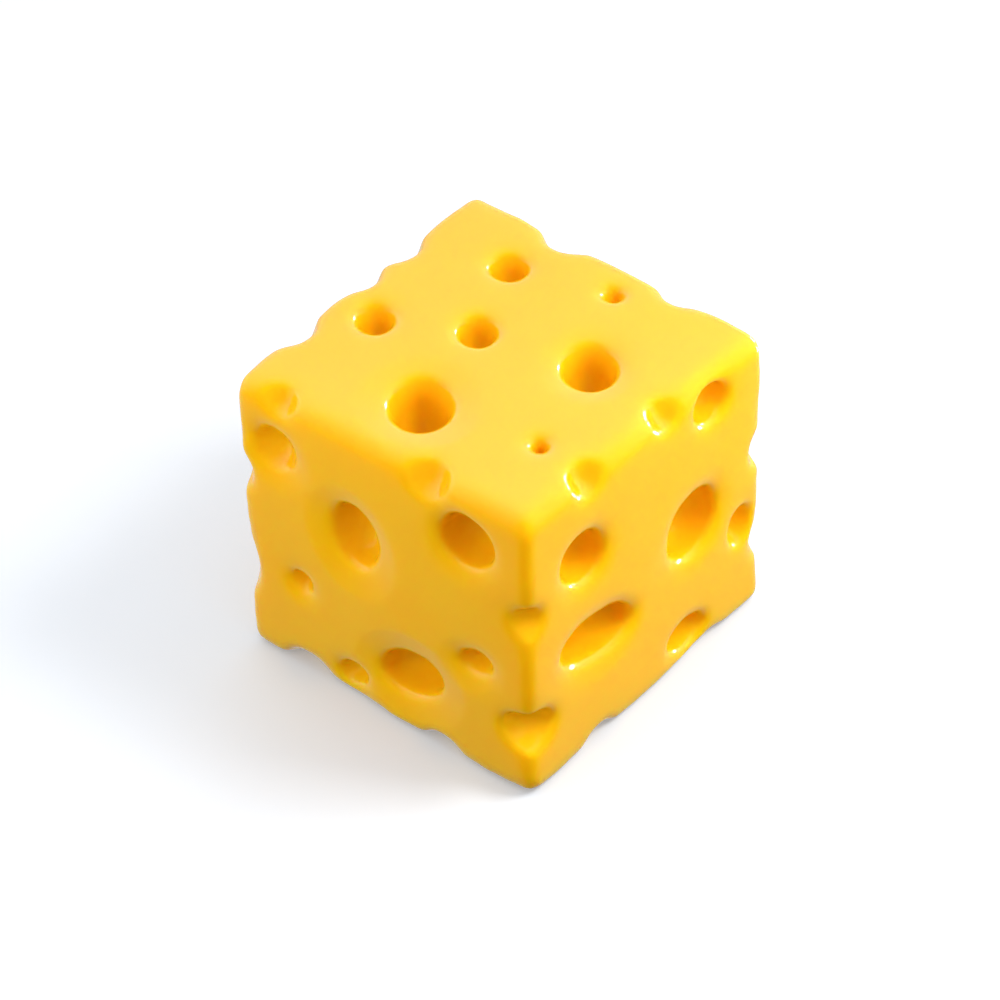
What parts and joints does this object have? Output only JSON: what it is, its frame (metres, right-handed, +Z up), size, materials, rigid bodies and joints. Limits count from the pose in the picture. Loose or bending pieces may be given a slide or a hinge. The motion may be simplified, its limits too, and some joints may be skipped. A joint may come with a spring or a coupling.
{
  "type": "cheese cube",
  "caption": "Hand-cut cube of glossy yellow holey cheese with softened edges, and gas-bubble eyes open in every face and nicking the edges.",
  "frame": {"origin": "middle of the footprint at the level of the base the cube stands on", "axes": "+Z up out of the cut top; +X and +Y square to the two pairs of upright cut faces"},
  "size_m": [0.0504, 0.051, 0.048],
  "materials": {
    "cheese": "glossy, moist, slightly translucent cut surface"
  },
  "bodies": {
    "root": {"cheese_cube": "cheese"}
  },
  "joints": []
}
